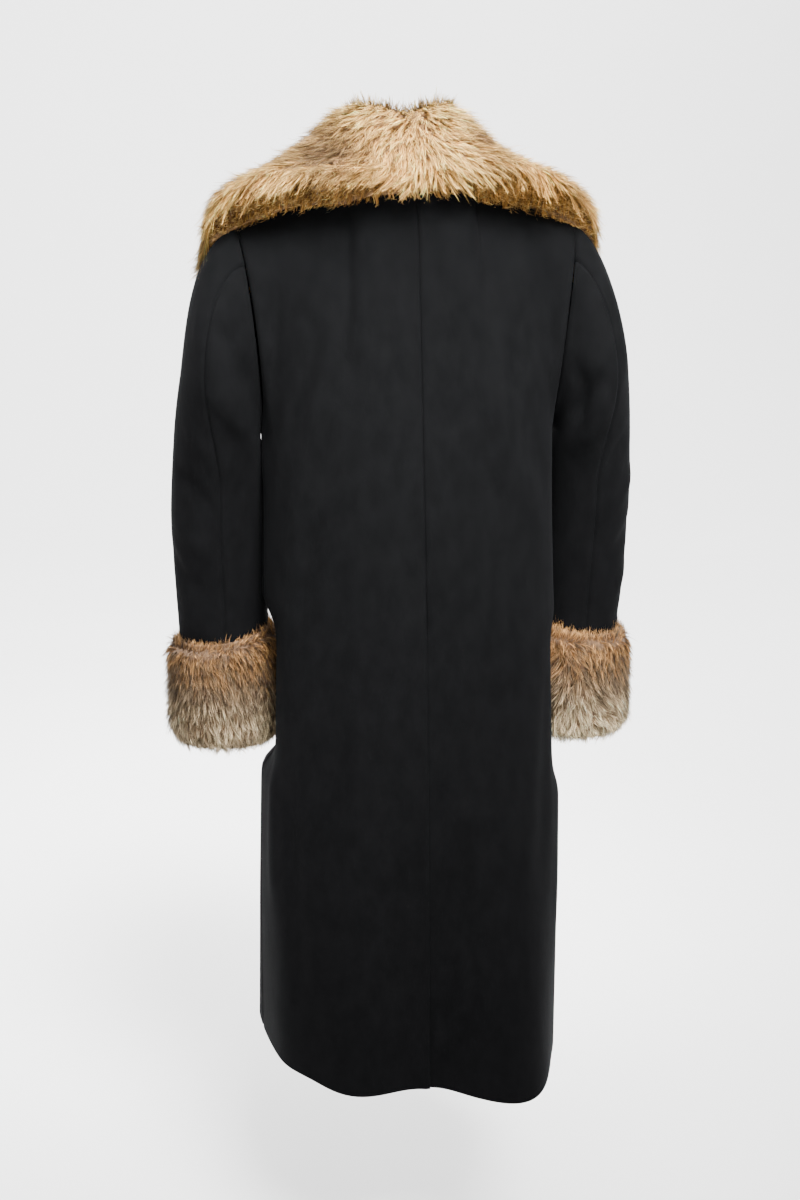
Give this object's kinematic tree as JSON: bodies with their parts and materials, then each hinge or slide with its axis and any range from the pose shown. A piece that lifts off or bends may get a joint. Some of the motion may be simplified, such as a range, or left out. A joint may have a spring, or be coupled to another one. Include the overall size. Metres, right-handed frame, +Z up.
{
  "type": "fur collar coat",
  "caption": "Long wool coat with a wide rounded fur collar, deep fur cuffs, two-piece sleeves and a back vent, filled out as worn.",
  "frame": {"origin": "on the coat's upright axis at the height of the nape, inside the neck hole, where the wearer's neck and shoulders hold the coat", "axes": "+Z up, +Y out of the back, +X towards the wearer's left"},
  "size_m": [0.644, 0.3447, 1.2779],
  "materials": {
    "wool": "matte brushed near-black charcoal wool",
    "fur_collar": "long soft golden tan fur with cream tips",
    "fur_cuffs": "long soft fur, rust brown at the top edge and beige below",
    "buttons": "satin black"
  },
  "bodies": {
    "root": {"back_left": "wool", "front_left": "wool", "sleeve_left_upper": "wool", "sleeve_left_under": "wool", "cuff_left": "fur_cuffs", "collar_left": "fur_collar", "back_right": "wool", "front_right": "wool", "sleeve_right_upper": "wool", "sleeve_right_under": "wool", "cuff_right": "fur_cuffs", "collar_right": "fur_collar", "button_1": "buttons", "button_2": "buttons", "button_3": "buttons"}
  },
  "joints": []
}
